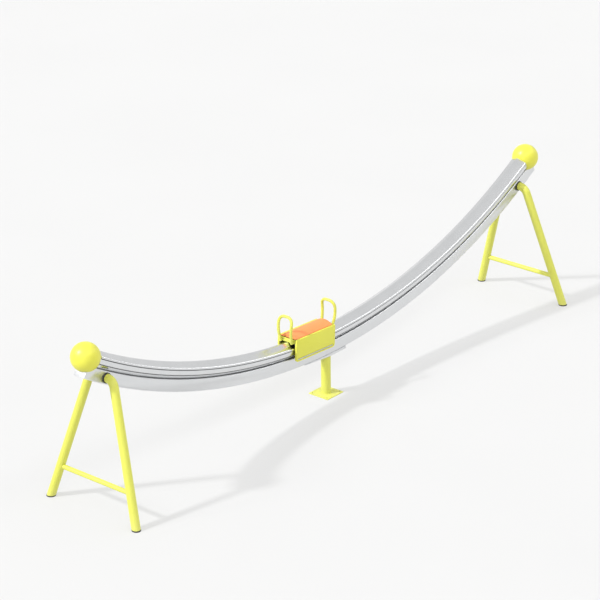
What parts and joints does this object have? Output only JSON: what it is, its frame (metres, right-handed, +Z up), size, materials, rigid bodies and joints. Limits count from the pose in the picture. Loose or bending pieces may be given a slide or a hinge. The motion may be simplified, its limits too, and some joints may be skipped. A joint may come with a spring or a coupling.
{
  "type": "seesaw",
  "caption": "Playground glider seesaw: a one-rider seat with hoop handles rolls along an arched rail on four bent legs and a middle post, between two end balls.",
  "frame": {"origin": "middle of the footprint, on the floor under the middle post", "axes": "+X along the track to the right, +Y across it away from the front side, +Z up"},
  "size_m": [6.1888, 1.0588, 1.5268],
  "materials": {
    "yellow_powder_coat": "semi-gloss powder coat",
    "yellow_board": "lightly textured board",
    "yellow_moulded_plastic": "satin moulded",
    "satin_aluminium": "satin extruded",
    "orange_rubber": "smooth moulded",
    "black_rubber": "matte",
    "black_plastic": "matte",
    "dark_urethane": "satin",
    "zinc_steel": "zinc plated"
  },
  "bodies": {
    "track": {"glide_rail": "satin_aluminium", "rail_end_caps": "satin_aluminium", "ball_spigots": "zinc_steel", "end_ball_left": "yellow_moulded_plastic", "end_ball_right": "yellow_moulded_plastic", "ball_screws": "zinc_steel", "support_beam": "satin_aluminium", "beam_end_caps": "satin_aluminium", "leg_sleeves": "zinc_steel", "leg_collars": "black_rubber", "leg_lock_screws": "zinc_steel", "leg_left_near": "yellow_powder_coat", "leg_left_far": "yellow_powder_coat", "leg_right_near": "yellow_powder_coat", "leg_right_far": "yellow_powder_coat", "crossbar_left": "yellow_powder_coat", "crossbar_right": "yellow_powder_coat", "foot_caps": "black_rubber", "center_saddle": "satin_aluminium", "saddle_bolts": "zinc_steel", "center_post": "yellow_powder_coat", "base_plate": "yellow_powder_coat"},
    "carriage": {"carriage_frame": "zinc_steel", "side_panel_near": "yellow_board", "side_panel_far": "yellow_board", "panel_screws": "zinc_steel", "keeper_bars": "satin_aluminium", "keeper_screws": "zinc_steel", "side_glides": "black_plastic", "end_plate_left": "yellow_powder_coat", "end_plate_right": "yellow_powder_coat", "end_plate_screws": "zinc_steel", "handle_left": "yellow_powder_coat", "handle_right": "yellow_powder_coat", "seat_pad": "orange_rubber", "seat_screws": "zinc_steel", "wheel_axles": "zinc_steel", "axle_clips": "zinc_steel", "wheel_spacers": "zinc_steel"},
    "left_wheel": {"wheel_left": "dark_urethane", "wheel_left_bearings": "zinc_steel"},
    "right_wheel": {"wheel_right": "dark_urethane", "wheel_right_bearings": "zinc_steel"}
  },
  "joints": [
    {"name": "carriage_travel", "type": "hinge", "parent": "track", "child": "carriage", "pos_m": [0, 0, 6.315], "axis": [0, -1, 0], "range_deg": [-24.6, 29.8]},
    {"name": "left_wheel_spin", "type": "hinge", "parent": "carriage", "child": "left_wheel", "pos_m": [-0.42153, 0, 0.69609], "axis": [0, -1, 0], "continuous": true},
    {"name": "right_wheel_spin", "type": "hinge", "parent": "carriage", "child": "right_wheel", "pos_m": [-0.09339, 0, 0.68107], "axis": [0, -1, 0], "continuous": true}
  ],
  "couplings": [
    {"joint": "left_wheel_spin", "follows": "carriage_travel", "ratio": -226.4},
    {"joint": "right_wheel_spin", "follows": "carriage_travel", "ratio": -226.4}
  ]
}
